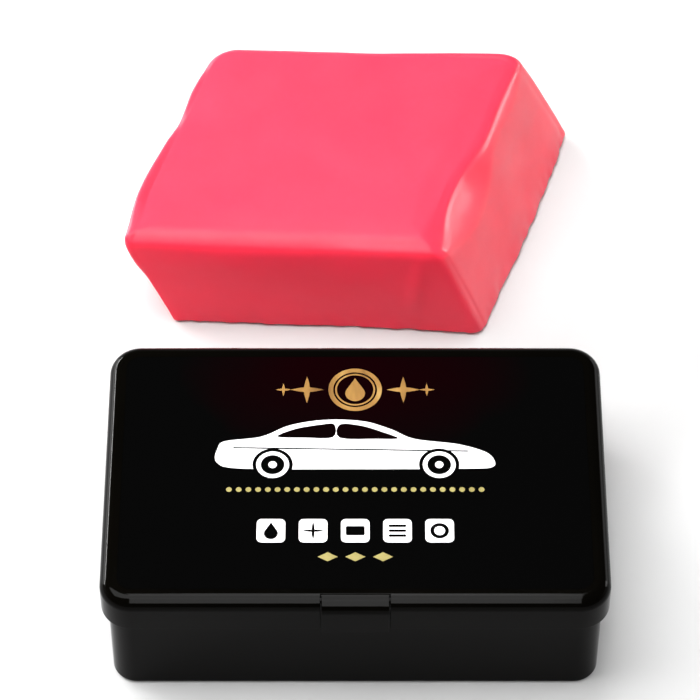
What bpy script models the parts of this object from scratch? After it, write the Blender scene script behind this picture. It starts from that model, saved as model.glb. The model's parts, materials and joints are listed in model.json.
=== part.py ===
"""A bar of detailing clay and the hinged plastic case that it is stored in.

Metres, +Z up. The origin is the centre of the case's underside. -Y is the case's front, with the latch. The closed
case stands on the surface, and the clay lies on the same surface behind it, clear of the lid's swing.
"""

import math

import bmesh
import bpy
from mathutils import Matrix, Vector

MM = 0.001

# Driving dimensions: the closed case
CASE_WIDTH = 96.0 * MM
CASE_DEPTH = 62.0 * MM
CASE_HEIGHT = 29.2 * MM
SKIRT_BOTTOM = 20.8 * MM
LID_WALL = 1.0 * MM
LID_CORNER = 6.0 * MM
LID_EDGE_FILLET = 2.5 * MM
SKIRT_EDGE_FILLET = 0.3 * MM

# Running gaps, and how far a cutter runs past the faces it cuts
FREE_GAP = 0.3 * MM
SIDE_GAP = 0.35 * MM
FRONT_GAP = 0.6 * MM
CUT_PAST = 1.0 * MM

# Base shell
BASE_WALL = 1.5 * MM
BASE_CORNER = 4.7 * MM
RIM_FILLET = 1.2 * MM
FOOT_FILLET = 1.0 * MM
FLOOR_FILLET = 1.0 * MM

# Lid label
LABEL_HALF_WIDTH = 44.6 * MM
LABEL_HALF_DEPTH = 27.5 * MM
LABEL_CORNER = 2.8 * MM
LABEL_THICKNESS = 0.2 * MM
LABEL_RECESS = 0.4 * MM

# Latch tab
TAB_WIDTH = 12.7 * MM
TAB_PROUD = 0.6 * MM
TAB_SLIT = 0.3 * MM
TAB_ROOT_BACK = 2.4 * MM
TAB_WALL = 1.0 * MM
TAB_BEND_HEIGHT = 2.7 * MM
TAB_BEND_DEPTH = TAB_ROOT_BACK + TAB_PROUD

# Catch: a nub in the tab and a bead on the base's front wall, at heights above the skirt's lower edge
NUB_DEPTH = 0.45 * MM
NUB_HEIGHT = 2.1 * MM
BEAD_DEPTH = 0.35 * MM
BEAD_HEIGHT = 3.9 * MM
BEAD_WIDTH = 11.0 * MM
RIDGE_ROOT = 1.4 * MM
RIDGE_CREST = 0.4 * MM

# Hinge, two stations along the back
STATION_X = 28.0 * MM
HINGE_BEHIND_LID = 2.6 * MM
HINGE_BELOW_SKIRT = 0.2 * MM
BARREL_RADIUS = 2.3 * MM
BORE_RADIUS = 1.3 * MM
PIN_RADIUS = 1.0 * MM
PIN_LENGTH = 10.4 * MM
LUG_WIDTH = 6.0 * MM
EAR_THICKNESS = 2.0 * MM
EAR_SHELF_DROP = 0.2 * MM
EAR_DROP = 7.1 * MM
ARM_HEIGHT = 5.4 * MM
ARM_CLEARANCE = 0.1 * MM
HEEL_TRAILING = 2.0 * MM
HEEL_LEADING = 1.6 * MM
HEEL_CHAMFER = 1.0 * MM
HEEL_CHAMFER_LENGTH = 0.7 * MM
OPEN_ANGLE = math.radians(100.0)

# Clay
CLAY_LENGTH = 65.5 * MM
CLAY_WIDTH = 54.5 * MM
CLAY_HEIGHT = 26.0 * MM
CLAY_EDGE = 3.5 * MM
CLAY_END_SLANT = math.radians(20.0)
CLAY_SKEW = math.radians(16.0)
CLAY_YAW = math.radians(-2.5)
CLAY_PLACE = Vector((-1.5 * MM, 85.5 * MM, 0.0))

CORNER_STEPS = 6
FILLET_STEPS = 4
BARREL_STEPS = 24
CLAY_EDGE_STEPS = 4
SHARP_ANGLE = math.radians(35.0)

HALF_WIDTH = CASE_WIDTH / 2
HALF_DEPTH = CASE_DEPTH / 2
LID_UNDERSIDE = CASE_HEIGHT - LID_WALL
BASE_HALF_WIDTH = HALF_WIDTH - LID_WALL - SIDE_GAP
BASE_HALF_DEPTH = HALF_DEPTH - LID_WALL - FRONT_GAP
RIM_TOP = LID_UNDERSIDE - FREE_GAP
HINGE_Y = HALF_DEPTH + HINGE_BEHIND_LID
HINGE_Z = SKIRT_BOTTOM - HINGE_BELOW_SKIRT
HINGE_AXIS_POINT = Vector((0.0, HINGE_Y, HINGE_Z))
TAB_ROOT_Y = -HALF_DEPTH + TAB_ROOT_BACK
TAB_ROOT_POINT = Vector((0.0, TAB_ROOT_Y, CASE_HEIGHT - TAB_WALL / 2))
TAB_OUTER_Y = TAB_ROOT_Y - TAB_BEND_DEPTH
TAB_INNER_Y = TAB_OUTER_Y + TAB_WALL


# Helpers

def clear_scene():
    for item in list(bpy.data.objects):
        bpy.data.objects.remove(item, do_unlink=True)


def make_material(name, colour, roughness, metallic=0.0):
    material = bpy.data.materials.new(name)
    material.use_nodes = True
    shader = material.node_tree.nodes["Principled BSDF"]
    shader.inputs["Base Color"].default_value = (*colour, 1.0)
    shader.inputs["Roughness"].default_value = roughness
    shader.inputs["Metallic"].default_value = metallic
    material.diffuse_color = (*colour, 1.0)
    return material


def add_empty(name, place):
    empty = bpy.data.objects.new(name, None)
    empty.location = place
    empty.empty_display_size = 5.0 * MM
    bpy.context.scene.collection.objects.link(empty)
    return empty


def add_object(name, bm, parent, material=None):
    """Makes an object of a mesh drawn in the case's frame, with its origin at its parent."""
    bmesh.ops.recalc_face_normals(bm, faces=bm.faces)
    mesh = bpy.data.meshes.new(name)
    bm.to_mesh(mesh)
    bm.free()
    mesh.transform(Matrix.Translation(-parent.location))
    mesh.shade_smooth()
    mesh.set_sharp_from_angle(angle=SHARP_ANGLE)
    if material:
        mesh.materials.append(material)
    item = bpy.data.objects.new(name, mesh)
    item.parent = parent
    bpy.context.scene.collection.objects.link(item)
    return item


def add_boolean(target, name, bm, operation):
    """Joins a drawn shape to the target, or cuts it away. The shape itself is only a guide."""
    guide = add_object(f"{target.name}_{name}", bm, target.parent)
    guide.hide_render = True
    guide.display_type = "WIRE"
    modifier = target.modifiers.new(name, "BOOLEAN")
    modifier.object = guide
    modifier.operation = operation
    modifier.solver = "EXACT"


def arc(centre, radius, start, end, steps):
    """Points of an arc in a plane, from the start angle to the end angle, in degrees."""
    points = []
    for step in range(steps + 1):
        angle = math.radians(start + (end - start) * step / steps)
        points.append((centre[0] + radius * math.cos(angle), centre[1] + radius * math.sin(angle)))
    return points


def rounded_rectangle(half_width, half_depth, corner):
    points = []
    for sign_x, sign_y, start in ((1, 1, 0), (-1, 1, 90), (-1, -1, 180), (1, -1, 270)):
        centre = (sign_x * (half_width - corner), sign_y * (half_depth - corner))
        points.extend(arc(centre, corner, start, start + 90, CORNER_STEPS))
    return points


def loft(rings):
    """A closed body through rings of (outline, height), with the first and last outlines as its caps."""
    bm = bmesh.new()
    loops = [[bm.verts.new((x, y, height)) for x, y in outline] for outline, height in rings]
    for low, high in zip(loops, loops[1:]):
        for index in range(len(low)):
            after = (index + 1) % len(low)
            bm.faces.new((low[index], low[after], high[after], high[index]))
    bm.faces.new(list(reversed(loops[0])))
    bm.faces.new(loops[-1])
    return bm


def extrude_along_x(bm, profile, low_x, high_x):
    """Adds a prism with a (y, z) profile between two x positions."""
    low = [bm.verts.new((low_x, y, z)) for y, z in profile]
    high = [bm.verts.new((high_x, y, z)) for y, z in profile]
    bm.faces.new(low)
    bm.faces.new(list(reversed(high)))
    for index in range(len(profile)):
        after = (index + 1) % len(profile)
        bm.faces.new((low[index], high[index], high[after], low[after]))


def box(low, high):
    bm = bmesh.new()
    profile = [(low[1], low[2]), (high[1], low[2]), (high[1], high[2]), (low[1], high[2])]
    extrude_along_x(bm, profile, low[0], high[0])
    return bm


def shell_ring(half_width, half_depth, corner, inset, height):
    return (rounded_rectangle(half_width - inset, half_depth - inset, corner - inset), height)


def quarter_turn():
    """Angles from 0 to 90 degrees, for the rings of a fillet."""
    return [math.radians(90.0 * step / FILLET_STEPS) for step in range(FILLET_STEPS + 1)]


# Hinge profiles, in (y, z)

def hinge_point(across, down):
    """A point on the lug from its position across and down the heel, which slopes so that it lies level when open."""
    slope = OPEN_ANGLE - math.radians(90.0)
    along = Vector((math.sin(slope), -math.cos(slope)))
    side = Vector((math.cos(slope), math.sin(slope)))
    point = Vector((HINGE_Y, HINGE_Z)) + along * down + side * across
    return (point.x, point.y)


def hinge_angle(point):
    """The direction of a point from the hinge axis, in degrees from 0 to 360."""
    return math.degrees(math.atan2(point[1] - HINGE_Z, point[0] - HINGE_Y)) % 360.0


def barrel_tangent(point, side):
    """The direction from the hinge axis at which a line from the point grazes the knuckle, on the side given."""
    distance = math.hypot(point[0] - HINGE_Y, point[1] - HINGE_Z)
    return hinge_angle(point) + side * math.degrees(math.acos(BARREL_RADIUS / distance))


def lug_profile():
    """A knuckle round the hinge axis, an arm up to the skirt, and the heel that stops the lid at its open angle."""
    centre = (HINGE_Y, HINGE_Z)
    skirt_y = HALF_DEPTH - LID_WALL / 2
    heel_length = HINGE_Y - BASE_HALF_DEPTH - FREE_GAP
    arm_top = SKIRT_BOTTOM + ARM_HEIGHT
    arm_bottom = SKIRT_BOTTOM + ARM_CLEARANCE
    heel_back = hinge_point(HEEL_TRAILING, math.sqrt(BARREL_RADIUS**2 - HEEL_TRAILING**2))
    heel_front = hinge_point(-HEEL_LEADING, math.sqrt(BARREL_RADIUS**2 - HEEL_LEADING**2))
    heel_tip = [
        hinge_point(HEEL_TRAILING, heel_length),
        hinge_point(HEEL_CHAMFER - HEEL_LEADING, heel_length),
        hinge_point(-HEEL_LEADING, heel_length - HEEL_CHAMFER_LENGTH),
    ]
    arm_graze = barrel_tangent((HALF_DEPTH, arm_top), -1)
    arm_foot = barrel_tangent((HALF_DEPTH, arm_bottom), 1)
    return [
        (skirt_y, arm_top),
        (HALF_DEPTH, arm_top),
        *arc(centre, BARREL_RADIUS, arm_graze, hinge_angle(heel_back) - 360.0, BARREL_STEPS // 4),
        *heel_tip,
        *arc(centre, BARREL_RADIUS, hinge_angle(heel_front), arm_foot, BARREL_STEPS // 8),
        (HALF_DEPTH, arm_bottom),
        (skirt_y, arm_bottom),
    ]


def ear_profile():
    """A knuckle round the hinge axis on a web from the base's back wall, below the path of the skirt."""
    centre = (HINGE_Y, HINGE_Z)
    wall_y = BASE_HALF_DEPTH - BASE_WALL / 3
    shelf_z = HINGE_Z - EAR_SHELF_DROP
    shelf_angle = 180.0 + math.degrees(math.asin(EAR_SHELF_DROP / BARREL_RADIUS))
    web_foot = (BASE_HALF_DEPTH, HINGE_Z - EAR_DROP)
    web_graze = barrel_tangent(web_foot, 1) - 360.0
    return [
        (wall_y, shelf_z),
        *arc(centre, BARREL_RADIUS, shelf_angle, web_graze, BARREL_STEPS * 5 // 8),
        web_foot,
        (wall_y, web_foot[1]),
    ]


def hinge_bores():
    """One bore guide through each station's ears and lug."""
    bm = bmesh.new()
    circle = arc((HINGE_Y, HINGE_Z), BORE_RADIUS, 0.0, 360.0, BARREL_STEPS)[:-1]
    reach = LUG_WIDTH / 2 + 2 * EAR_THICKNESS
    for station in (-STATION_X, STATION_X):
        extrude_along_x(bm, circle, station - reach, station + reach)
    return bm


# Pieces

def make_case_base(frame, material):
    def ring(inset, height):
        return shell_ring(BASE_HALF_WIDTH, BASE_HALF_DEPTH, BASE_CORNER, inset, height)

    turns = quarter_turn()
    rings = [
        ring(FOOT_FILLET * (1 - math.sin(turn)), FOOT_FILLET * (1 - math.cos(turn)))
        for turn in turns
    ]
    rings += [
        ring(RIM_FILLET * (1 - math.cos(turn)), RIM_TOP - RIM_FILLET * (1 - math.sin(turn)))
        for turn in turns
    ]
    rings.append(ring(BASE_WALL, RIM_TOP))
    rings += [
        ring(BASE_WALL + FLOOR_FILLET * (1 - math.cos(turn)), BASE_WALL + FLOOR_FILLET * (1 - math.sin(turn)))
        for turn in turns
    ]
    base = add_object("case_base", loft(rings), frame, material)

    ears = bmesh.new()
    ear_start = LUG_WIDTH / 2 + FREE_GAP
    for station in (-STATION_X, STATION_X):
        for side in (-1, 1):
            near = station + side * ear_start
            far = near + side * EAR_THICKNESS
            extrude_along_x(ears, ear_profile(), min(near, far), max(near, far))
    add_boolean(base, "ears", ears, "UNION")
    add_boolean(base, "bead", catch_bead(), "UNION")
    add_boolean(base, "bores", hinge_bores(), "DIFFERENCE")
    return base


def ridge(face_y, crest_y, height):
    """The (y, z) profile of a low ridge with a flat crest, at a height above the skirt's lower edge."""
    middle = SKIRT_BOTTOM + height
    return [
        (face_y, middle - RIDGE_ROOT / 2),
        (crest_y, middle - RIDGE_CREST / 2),
        (crest_y, middle + RIDGE_CREST / 2),
        (face_y, middle + RIDGE_ROOT / 2),
    ]


def catch_bead():
    """The ridge on the base's front wall that the latch tab's nub springs under."""
    bm = bmesh.new()
    profile = ridge(-BASE_HALF_DEPTH + BASE_WALL / 3, -BASE_HALF_DEPTH - BEAD_DEPTH, BEAD_HEIGHT)
    extrude_along_x(bm, profile, -BEAD_WIDTH / 2, BEAD_WIDTH / 2)
    return bm


def make_case_lid(axis, material):
    def ring(inset, height):
        return shell_ring(HALF_WIDTH, HALF_DEPTH, LID_CORNER, inset, height)

    inner_fillet = LID_EDGE_FILLET - LID_WALL
    turns = quarter_turn()
    rings = [
        ring(LID_WALL + inner_fillet * (1 - math.sin(turn)), LID_UNDERSIDE - inner_fillet * (1 - math.cos(turn)))
        for turn in turns
    ]
    rings.append(ring(LID_WALL, SKIRT_BOTTOM))
    rings.append(ring(SKIRT_EDGE_FILLET, SKIRT_BOTTOM))
    rings.append(ring(0.0, SKIRT_BOTTOM + SKIRT_EDGE_FILLET))
    rings += [
        ring(LID_EDGE_FILLET * (1 - math.cos(turn)), CASE_HEIGHT - LID_EDGE_FILLET * (1 - math.sin(turn)))
        for turn in turns
    ]
    recess = rounded_rectangle(
        LABEL_HALF_WIDTH + FREE_GAP, LABEL_HALF_DEPTH + FREE_GAP, LABEL_CORNER + FREE_GAP
    )
    rings.append((recess, CASE_HEIGHT))
    rings.append((recess, CASE_HEIGHT - LABEL_RECESS))
    lid = add_object("case_lid", loft(rings), axis, material)

    lugs = bmesh.new()
    for station in (-STATION_X, STATION_X):
        extrude_along_x(lugs, lug_profile(), station - LUG_WIDTH / 2, station + LUG_WIDTH / 2)
    add_boolean(lid, "lugs", lugs, "UNION")
    add_boolean(lid, "bores", hinge_bores(), "DIFFERENCE")

    notch_half = TAB_WIDTH / 2 + TAB_SLIT
    notch_low = (-notch_half, TAB_OUTER_Y, SKIRT_BOTTOM - CUT_PAST)
    notch_high = (notch_half, TAB_ROOT_Y + TAB_SLIT, CASE_HEIGHT + CUT_PAST)
    add_boolean(lid, "latch_notch", box(notch_low, notch_high), "DIFFERENCE")
    return lid


def make_latch_tab(axis, material):
    """A tongue that bends over the lid's front edge and down, with a nub inside near its lower end."""
    turns = quarter_turn()
    outer = [
        (TAB_ROOT_Y - TAB_BEND_DEPTH * math.sin(turn), CASE_HEIGHT - TAB_BEND_HEIGHT * (1 - math.cos(turn)))
        for turn in turns
    ]
    inner_depth = TAB_BEND_DEPTH - TAB_WALL
    inner_height = TAB_BEND_HEIGHT - TAB_WALL
    inner = [
        (TAB_ROOT_Y - inner_depth * math.sin(turn), LID_UNDERSIDE - inner_height * (1 - math.cos(turn)))
        for turn in reversed(turns)
    ]
    nub = ridge(TAB_INNER_Y, TAB_INNER_Y + NUB_DEPTH, NUB_HEIGHT)
    foot = [(TAB_OUTER_Y, SKIRT_BOTTOM), (TAB_INNER_Y, SKIRT_BOTTOM)]
    bm = bmesh.new()
    extrude_along_x(bm, [*outer, *foot, *nub, *inner], -TAB_WIDTH / 2, TAB_WIDTH / 2)
    return add_object("latch_tab", bm, axis, material)


def make_lid_label(axis, material):
    low = CASE_HEIGHT - LABEL_RECESS + FREE_GAP
    outline = rounded_rectangle(LABEL_HALF_WIDTH, LABEL_HALF_DEPTH, LABEL_CORNER)
    return add_object("lid_label", loft([(outline, low), (outline, low + LABEL_THICKNESS)]), axis, material)


def make_hinge_pin(name, station, frame, material):
    bm = bmesh.new()
    circle = arc((HINGE_Y, HINGE_Z), PIN_RADIUS, 0.0, 360.0, BARREL_STEPS)[:-1]
    extrude_along_x(bm, circle, station - PIN_LENGTH / 2, station + PIN_LENGTH / 2)
    return add_object(name, bm, frame, material)


def make_clay_bar(place, material):
    """A hand-cut block: flat faces, soft edges, ends that lean and a plan slightly out of square."""
    bm = bmesh.new()
    bmesh.ops.create_cube(bm, size=1.0)
    bmesh.ops.scale(bm, verts=bm.verts, vec=(CLAY_LENGTH, CLAY_WIDTH, CLAY_HEIGHT))
    bmesh.ops.bevel(
        bm,
        geom=[*bm.verts, *bm.edges],
        offset=CLAY_EDGE,
        offset_type="OFFSET",
        segments=CLAY_EDGE_STEPS,
        profile=0.5,
        affect="EDGES",
    )
    for vert in bm.verts:
        vert.co.x += vert.co.y * math.tan(CLAY_SKEW) - vert.co.z * math.tan(CLAY_END_SLANT)
        vert.co.z += CLAY_HEIGHT / 2
    turn = Matrix.Translation(place.location) @ Matrix.Rotation(CLAY_YAW, 4, "Z")
    bmesh.ops.transform(bm, matrix=turn, verts=bm.verts)
    return add_object("clay_bar", bm, place, material)


def main():
    clear_scene()
    shell_black = make_material("shell_black", (0.012, 0.011, 0.010), 0.22)
    label_black = make_material("label_black", (0.006, 0.004, 0.004), 0.12)
    pin_steel = make_material("pin_steel", (0.55, 0.55, 0.56), 0.35, metallic=1.0)
    clay_pink = make_material("clay_pink", (0.90, 0.10, 0.20), 0.45)

    case_frame = add_empty("case_frame", (0.0, 0.0, 0.0))
    lid_axis = add_empty("lid_hinge_axis", HINGE_AXIS_POINT)
    latch_axis = add_empty("latch_flex_axis", TAB_ROOT_POINT)
    clay_place = add_empty("clay_place", CLAY_PLACE)

    make_case_base(case_frame, shell_black)
    make_case_lid(lid_axis, shell_black)
    make_latch_tab(latch_axis, shell_black)
    make_lid_label(lid_axis, label_black)
    make_hinge_pin("hinge_pin_left", -STATION_X, case_frame, pin_steel)
    make_hinge_pin("hinge_pin_right", STATION_X, case_frame, pin_steel)
    make_clay_bar(clay_place, clay_pink)


main()
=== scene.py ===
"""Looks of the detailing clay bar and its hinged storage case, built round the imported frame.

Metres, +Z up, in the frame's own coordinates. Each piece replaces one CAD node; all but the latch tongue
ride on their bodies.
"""

import json
import math

import bmesh
import bpy
import numpy as np
from mathutils import Matrix, Vector, geometry, noise


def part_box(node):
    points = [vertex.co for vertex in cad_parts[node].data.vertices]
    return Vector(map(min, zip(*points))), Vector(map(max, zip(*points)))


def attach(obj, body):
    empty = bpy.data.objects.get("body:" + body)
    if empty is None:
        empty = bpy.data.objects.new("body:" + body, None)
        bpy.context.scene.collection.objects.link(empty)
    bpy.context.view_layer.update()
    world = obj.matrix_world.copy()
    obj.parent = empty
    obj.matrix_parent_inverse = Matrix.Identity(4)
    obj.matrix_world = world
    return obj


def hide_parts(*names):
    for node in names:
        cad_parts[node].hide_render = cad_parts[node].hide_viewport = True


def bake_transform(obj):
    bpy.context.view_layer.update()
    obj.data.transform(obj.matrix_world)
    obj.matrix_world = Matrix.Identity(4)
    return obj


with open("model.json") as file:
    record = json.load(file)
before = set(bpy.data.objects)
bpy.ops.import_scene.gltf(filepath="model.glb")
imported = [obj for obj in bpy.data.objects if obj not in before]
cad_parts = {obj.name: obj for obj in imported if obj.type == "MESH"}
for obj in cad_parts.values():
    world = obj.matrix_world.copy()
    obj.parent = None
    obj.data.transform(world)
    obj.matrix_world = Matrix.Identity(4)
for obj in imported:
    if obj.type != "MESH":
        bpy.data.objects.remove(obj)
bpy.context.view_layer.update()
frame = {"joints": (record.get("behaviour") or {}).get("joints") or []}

MM = 0.001

# Sizes read from the frame
_, BASE_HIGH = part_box("case_base")
LID_LOW, LID_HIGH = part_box("case_lid")
TAB_LOW, TAB_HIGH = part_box("latch_tab")
_, LABEL_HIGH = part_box("lid_label")
HINGE = Vector(next(joint["pos_m"] for joint in frame["joints"] if joint["name"] == "lid_hinge"))

HALF_WIDTH = LID_HIGH.x
HALF_DEPTH = -LID_LOW.y
CASE_HEIGHT = LID_HIGH.z
SKIRT_BOTTOM = TAB_LOW.z
RIM_TOP = BASE_HIGH.z
BASE_HALF_WIDTH = BASE_HIGH.x

# Mouldings
LID_WALL = 1.0 * MM
LID_CORNER = 6.0 * MM
LID_FILLET = 2.5 * MM
SKIRT_FILLET = 0.3 * MM
BASE_WALL = 1.5 * MM
BASE_CORNER = 4.7 * MM
BASE_FRONT_GAP = 0.6 * MM
BASE_HALF_DEPTH = HALF_DEPTH - LID_WALL - BASE_FRONT_GAP
RIM_FILLET = 1.2 * MM
FOOT_FILLET = 1.0 * MM
FLOOR_FILLET = 1.0 * MM
LID_UNDERSIDE = CASE_HEIGHT - LID_WALL
GROOVE = 0.04 * MM
RECESS_DEPTH = 0.4 * MM
EDGE_BREAK = 0.12 * MM
EDGE_BREAK_ANGLE = math.radians(38.0)
SHARP_ANGLE = math.radians(50.0)
PIN_SHARP_ANGLE = math.radians(40.0)
MARK_X = 34.0 * MM
MARK_Y = 18.0 * MM
MARK_RADIUS = 2.5 * MM
MARK_DEPTH = 0.08 * MM
GATE_RADIUS = 3.0 * MM
GATE_DEPTH = 0.35 * MM

# Hinge stations
STATION_X = 28.0 * MM
BARREL_RADIUS = 2.3 * MM
BORE_RADIUS = 1.22 * MM
PIN_RADIUS = 1.15 * MM
PIN_DOME = 0.25 * MM
PIN_HALF_LENGTH = 5.3 * MM
LUG_HALF_WIDTH = 3.0 * MM
EAR_START = 3.3 * MM
EAR_THICKNESS = 2.0 * MM
EAR_SHELF_DROP = 0.2 * MM
EAR_DROP = 7.1 * MM
ARM_HEIGHT = 5.4 * MM
ARM_CLEARANCE = 0.1 * MM
HEEL_TRAILING = 2.0 * MM
HEEL_LEADING = 1.6 * MM
HEEL_CHAMFER = 1.0 * MM
HEEL_CHAMFER_LENGTH = 0.7 * MM
HEEL_GAP = 0.3 * MM
OPEN_ANGLE = math.radians(100.0)

# Latch
TAB_WALL = 1.0 * MM
TAB_BEND_HEIGHT = 2.7 * MM
TAB_SLIT = 0.22 * MM
NUB_DEPTH = 0.45 * MM
NUB_HEIGHT = 2.1 * MM
BEAD_DEPTH = 0.35 * MM
BEAD_HEIGHT = 3.9 * MM
BEAD_WIDTH = 11.0 * MM
RIDGE_ROOT = 1.4 * MM
RIDGE_CREST = 0.4 * MM
CUT_PAST = 1.0 * MM

# Clay
CLAY_LENGTH = 65.5 * MM
CLAY_WIDTH = 54.5 * MM
CLAY_HEIGHT = 26.0 * MM
CLAY_END_SLANT = math.radians(20.0)
CLAY_SKEW = math.radians(16.0)
CLAY_YAW = math.radians(-2.5)
CLAY_PLACE = Vector((-1.5 * MM, 85.5 * MM, 0.0))

CORNER_STEPS = 16
FILLET_STEPS = 10
BARREL_STEPS = 64
MARK_STEPS = 48


# Mesh helpers

def arc(centre, radius, start, end, steps):
    """Points of an arc in a plane, from the start angle to the end angle, in degrees."""
    points = []
    for step in range(steps + 1):
        angle = math.radians(start + (end - start) * step / steps)
        points.append((centre[0] + radius * math.cos(angle), centre[1] + radius * math.sin(angle)))
    return points


def circle(centre, radius, steps=BARREL_STEPS):
    return arc(centre, radius, 0.0, 360.0, steps)[:-1]


def rounded_rectangle(half_width, half_depth, corner, steps=CORNER_STEPS, centre=(0.0, 0.0)):
    points = []
    for sign_x, sign_y, start in ((1, 1, 0), (-1, 1, 90), (-1, -1, 180), (1, -1, 270)):
        pivot = (centre[0] + sign_x * (half_width - corner), centre[1] + sign_y * (half_depth - corner))
        points.extend(arc(pivot, corner, start, start + 90, steps))
    return points


def quarter_turn(steps=FILLET_STEPS):
    return [math.radians(90.0 * step / steps) for step in range(steps + 1)]


def loft(rings):
    """A closed body through rings of (outline, height), with the first and last outlines as its caps."""
    bm = bmesh.new()
    loops = [[bm.verts.new((x, y, height)) for x, y in outline] for outline, height in rings]
    for low, high in zip(loops, loops[1:]):
        for index in range(len(low)):
            after = (index + 1) % len(low)
            bm.faces.new((low[index], low[after], high[after], high[index]))
    bm.faces.new(list(reversed(loops[0])))
    bm.faces.new(loops[-1])
    return bm


def extrude_along_x(bm, profile, low_x, high_x):
    """Adds a prism with a (y, z) profile between two x positions."""
    low = [bm.verts.new((low_x, y, z)) for y, z in profile]
    high = [bm.verts.new((high_x, y, z)) for y, z in profile]
    bm.faces.new(low)
    bm.faces.new(list(reversed(high)))
    for index in range(len(profile)):
        after = (index + 1) % len(profile)
        bm.faces.new((low[index], high[index], high[after], low[after]))


def make_object(name, bm):
    bmesh.ops.recalc_face_normals(bm, faces=bm.faces)
    mesh = bpy.data.meshes.new(name)
    bm.to_mesh(mesh)
    bm.free()
    mesh.shade_smooth()
    item = bpy.data.objects.new(name, mesh)
    bpy.context.scene.collection.objects.link(item)
    return item


def apply_modifiers(item):
    """Turns the object's modifiers into its mesh."""
    graph = bpy.context.evaluated_depsgraph_get()
    mesh = bpy.data.meshes.new_from_object(item.evaluated_get(graph))
    item.modifiers.clear()
    item.data = mesh
    return item


def combine(item, changes):
    """Joins shapes to the object, or cuts them away. Each change is (operation, bmesh)."""
    guides = []
    for number, (operation, bm) in enumerate(changes):
        guide = make_object(f"{item.name}_change_{number}", bm)
        guides.append(guide)
        modifier = item.modifiers.new(guide.name, "BOOLEAN")
        modifier.object = guide
        modifier.operation = operation
        modifier.solver = "EXACT"
    bpy.context.view_layer.update()
    apply_modifiers(item)
    for guide in guides:
        bpy.data.objects.remove(guide, do_unlink=True)
    return item


def break_edges(item, width=EDGE_BREAK):
    """Rounds every sharp edge a little, as moulded and cut edges are."""
    bevel = item.modifiers.new("edge_break", "BEVEL")
    bevel.width = width
    bevel.segments = 2
    bevel.limit_method = "ANGLE"
    bevel.angle_limit = EDGE_BREAK_ANGLE
    bpy.context.view_layer.update()
    return apply_modifiers(item)


def settle_shading(item):
    """Smooth shading led by the large faces, so that an edge break doesn't bend its neighbours' gloss."""
    item.data.shade_smooth()
    item.data.set_sharp_from_angle(angle=SHARP_ANGLE)
    weighted = item.modifiers.new("even_normals", "WEIGHTED_NORMAL")
    weighted.keep_sharp = True
    weighted.weight = 100
    bpy.context.view_layer.update()
    return apply_modifiers(item)


def finish_piece(item, materials, node, body):
    for material in materials:
        item.data.materials.append(material)
    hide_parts(node)
    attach(item, body)
    return item


# Hinge and latch profiles, in (y, z)

def hinge_point(across, down):
    """A point on the lug, from its place across and down the heel, which lies level with the lid open."""
    slope = OPEN_ANGLE - math.radians(90.0)
    along = Vector((math.sin(slope), -math.cos(slope)))
    side = Vector((math.cos(slope), math.sin(slope)))
    point = Vector((HINGE.y, HINGE.z)) + along * down + side * across
    return (point.x, point.y)


def hinge_angle(point):
    return math.degrees(math.atan2(point[1] - HINGE.z, point[0] - HINGE.y)) % 360.0


def barrel_tangent(point, side):
    """The direction from the hinge axis at which a line from the point grazes the knuckle on one side."""
    distance = math.hypot(point[0] - HINGE.y, point[1] - HINGE.z)
    return hinge_angle(point) + side * math.degrees(math.acos(BARREL_RADIUS / distance))


def lug_profile():
    centre = (HINGE.y, HINGE.z)
    skirt_y = HALF_DEPTH - LID_WALL / 2
    heel_length = HINGE.y - BASE_HALF_DEPTH - HEEL_GAP
    arm_top = SKIRT_BOTTOM + ARM_HEIGHT
    arm_bottom = SKIRT_BOTTOM + ARM_CLEARANCE
    heel_back = hinge_point(HEEL_TRAILING, math.sqrt(BARREL_RADIUS**2 - HEEL_TRAILING**2))
    heel_front = hinge_point(-HEEL_LEADING, math.sqrt(BARREL_RADIUS**2 - HEEL_LEADING**2))
    heel_tip = [
        hinge_point(HEEL_TRAILING, heel_length),
        hinge_point(HEEL_CHAMFER - HEEL_LEADING, heel_length),
        hinge_point(-HEEL_LEADING, heel_length - HEEL_CHAMFER_LENGTH),
    ]
    arm_graze = barrel_tangent((HALF_DEPTH, arm_top), -1)
    arm_foot = barrel_tangent((HALF_DEPTH, arm_bottom), 1)
    return [
        (skirt_y, arm_top),
        (HALF_DEPTH, arm_top),
        *arc(centre, BARREL_RADIUS, arm_graze, hinge_angle(heel_back) - 360.0, BARREL_STEPS // 4),
        *heel_tip,
        *arc(centre, BARREL_RADIUS, hinge_angle(heel_front), arm_foot, BARREL_STEPS // 8),
        (HALF_DEPTH, arm_bottom),
        (skirt_y, arm_bottom),
    ]


def ear_profile():
    centre = (HINGE.y, HINGE.z)
    wall_y = BASE_HALF_DEPTH - BASE_WALL / 3
    shelf_angle = 180.0 + math.degrees(math.asin(EAR_SHELF_DROP / BARREL_RADIUS))
    web_foot = (BASE_HALF_DEPTH, HINGE.z - EAR_DROP)
    web_angle = barrel_tangent(web_foot, 1) - 360.0
    return [
        (wall_y, HINGE.z - EAR_SHELF_DROP),
        *arc(centre, BARREL_RADIUS, shelf_angle, web_angle, BARREL_STEPS * 5 // 8),
        web_foot,
        (wall_y, web_foot[1]),
    ]


def ridge(face_y, crest_y, height):
    middle = SKIRT_BOTTOM + height
    return [
        (face_y, middle - RIDGE_ROOT / 2),
        (crest_y, middle - RIDGE_CREST / 2),
        (crest_y, middle + RIDGE_CREST / 2),
        (face_y, middle + RIDGE_ROOT / 2),
    ]


def hinge_bores():
    bm = bmesh.new()
    reach = EAR_START + 2 * EAR_THICKNESS
    for station in (-STATION_X, STATION_X):
        extrude_along_x(bm, circle((HINGE.y, HINGE.z), BORE_RADIUS), station - reach, station + reach)
    return bm


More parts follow.
